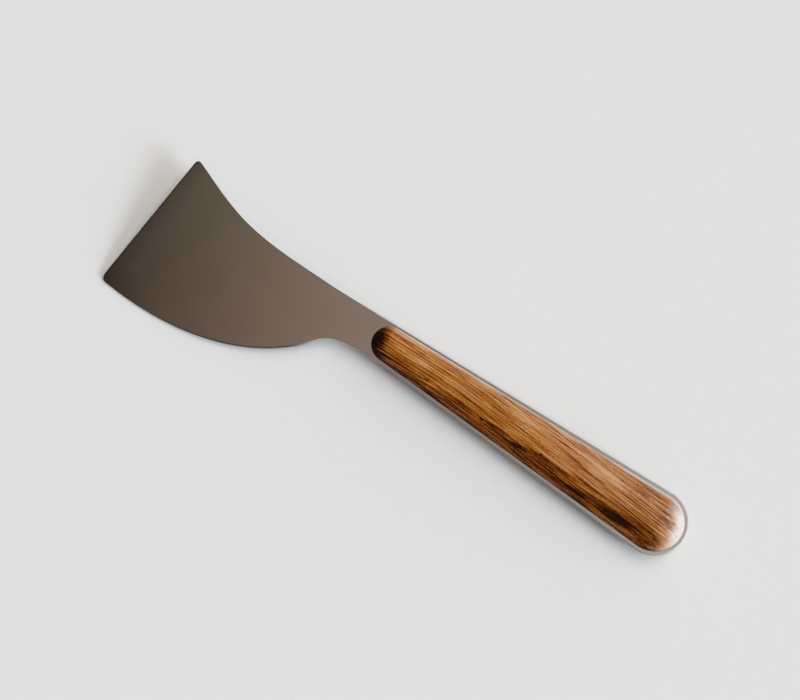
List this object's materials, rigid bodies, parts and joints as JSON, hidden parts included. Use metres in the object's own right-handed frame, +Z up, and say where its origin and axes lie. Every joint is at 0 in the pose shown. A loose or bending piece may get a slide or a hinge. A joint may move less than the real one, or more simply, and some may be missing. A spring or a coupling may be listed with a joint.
{
  "type": "cheese spreader",
  "caption": "Fixed-blade cheese spreader: fan-shaped stainless blade running into a narrow neck and full tang between domed wooden handle scales.",
  "frame": {"origin": "middle of the footprint's box on the table, with the knife lying on its belly tip and the back scale's crown", "axes": "+X from the blade's working edge to the butt of the handle, +Y towards the spine, +Z up off the table"},
  "size_m": [0.2054, 0.0516, 0.0132],
  "materials": {
    "blade_steel": "satin",
    "handle_wood": "oiled, fine open grain along the handle",
    "pin_steel": "turned",
    "adhesive": "cured, dark"
  },
  "bodies": {
    "root": {"blade_tang": "blade_steel", "front_scale": "handle_wood", "back_scale": "handle_wood", "front_pin": "pin_steel", "middle_pin": "pin_steel", "rear_pin": "pin_steel", "front_bond_line": "adhesive", "back_bond_line": "adhesive"}
  },
  "joints": []
}
